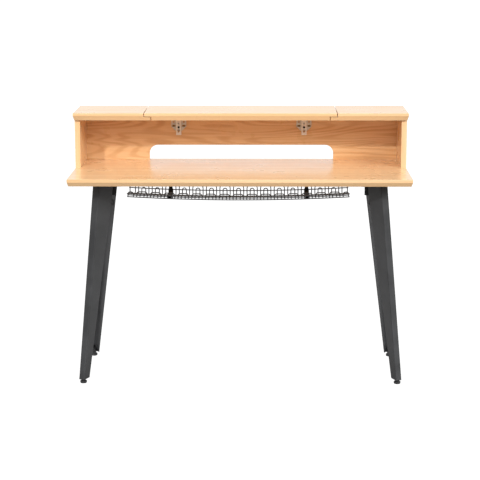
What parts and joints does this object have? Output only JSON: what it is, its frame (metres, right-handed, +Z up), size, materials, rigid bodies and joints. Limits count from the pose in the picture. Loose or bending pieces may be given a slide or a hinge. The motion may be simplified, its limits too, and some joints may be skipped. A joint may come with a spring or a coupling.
{
  "type": "sewing table",
  "caption": "Worktop on splayed folded-steel legs with a raised rear shelf box, a lift-up middle lid on concealed hinges, a cable slot and a hanging wire tray.",
  "frame": {"origin": "on the floor, midway between the ends and midway between the front and rear edges", "axes": "+X to the user's right, +Y towards the raised shelf at the rear, +Z up"},
  "size_m": [1.21, 0.5, 0.95],
  "materials": {
    "beech_veneer": "satin lacquer",
    "dowel_wood": "raw",
    "charcoal_powder_coat": "fine matt texture",
    "black_powder_coat": "matt",
    "tray_wire": "satin",
    "hinge_nickel": "satin nickel plate",
    "zinc_screw": "zinc plate",
    "black_screw": "black oxide",
    "bronze_screw": "dark yellow passivated",
    "black_plastic": "fine texture",
    "buffer_silicone": "clear soft"
  },
  "bodies": {
    "table": {"back_panel": "beech_veneer", "bracket_screws": "zinc_screw", "corner_bracket_front_left": "black_powder_coat", "corner_bracket_front_right": "black_powder_coat", "corner_bracket_rear_left": "black_powder_coat", "corner_bracket_rear_right": "black_powder_coat", "dowels": "dowel_wood", "fixed_top_left": "beech_veneer", "fixed_top_right": "beech_veneer", "foot_nut_front_left": "zinc_screw", "foot_nut_front_right": "zinc_screw", "foot_nut_rear_left": "zinc_screw", "foot_nut_rear_right": "zinc_screw", "hinge_arm_left": "hinge_nickel", "hinge_arm_pin_left": "hinge_nickel", "hinge_arm_pin_right": "hinge_nickel", "hinge_arm_right": "hinge_nickel", "hinge_arm_screws": "black_screw", "hinge_plate_left": "hinge_nickel", "hinge_plate_right": "hinge_nickel", "hinge_plate_screws": "bronze_screw", "hole_plugs": "black_plastic", "leg_front_left": "charcoal_powder_coat", "leg_front_right": "charcoal_powder_coat", "leg_plate_front_left": "charcoal_powder_coat", "leg_plate_front_right": "charcoal_powder_coat", "leg_plate_rear_left": "charcoal_powder_coat", "leg_plate_rear_right": "charcoal_powder_coat", "leg_rear_left": "charcoal_powder_coat", "leg_rear_right": "charcoal_powder_coat", "leg_screws": "zinc_screw", "lid_buffers": "buffer_silicone", "panel_screws": "zinc_screw", "side_panel_left": "beech_veneer", "side_panel_right": "beech_veneer", "tray_clamp_left": "black_powder_coat", "tray_clamp_right": "black_powder_coat", "tray_clamp_screws": "black_screw", "tray_cross_wires": "tray_wire", "tray_hanger_left": "black_powder_coat", "tray_hanger_right": "black_powder_coat", "tray_hanger_screws": "zinc_screw", "tray_long_wires": "tray_wire", "worktop": "beech_veneer"},
    "hinge_links": {"hinge_link_left": "hinge_nickel", "hinge_link_right": "hinge_nickel"},
    "lid": {"lid": "beech_veneer", "hinge_cup_left": "hinge_nickel", "hinge_cup_right": "hinge_nickel", "hinge_cup_pin_left": "hinge_nickel", "hinge_cup_pin_right": "hinge_nickel", "hinge_cup_screws": "zinc_screw"},
    "glide_front_left": {"glide_pad_front_left": "black_plastic", "glide_stem_front_left": "black_screw"},
    "glide_front_right": {"glide_pad_front_right": "black_plastic", "glide_stem_front_right": "black_screw"},
    "glide_rear_left": {"glide_pad_rear_left": "black_plastic", "glide_stem_rear_left": "black_screw"},
    "glide_rear_right": {"glide_pad_rear_right": "black_plastic", "glide_stem_rear_right": "black_screw"}
  },
  "joints": [
    {"name": "link_swing", "type": "hinge", "parent": "table", "child": "hinge_links", "pos_m": [0, 0.2037, 0.9205], "axis": [1, 0, 0], "range_deg": [0, 41]},
    {"name": "lid_lift", "type": "hinge", "parent": "hinge_links", "child": "lid", "pos_m": [0, 0.2331, 0.9287], "axis": [-1, 0, 0], "range_deg": [0, 136]},
    {"name": "glide_front_left_screw", "type": "slide", "parent": "table", "child": "glide_front_left", "axis": [0, 0, -1], "range_m": [0, 0.01]},
    {"name": "glide_front_right_screw", "type": "slide", "parent": "table", "child": "glide_front_right", "axis": [0, 0, -1], "range_m": [0, 0.01]},
    {"name": "glide_rear_left_screw", "type": "slide", "parent": "table", "child": "glide_rear_left", "axis": [0, 0, -1], "range_m": [0, 0.01]},
    {"name": "glide_rear_right_screw", "type": "slide", "parent": "table", "child": "glide_rear_right", "axis": [0, 0, -1], "range_m": [0, 0.01]}
  ],
  "couplings": [
    {"joint": "link_swing", "follows": "lid_lift", "ratio": 0.30119}
  ]
}
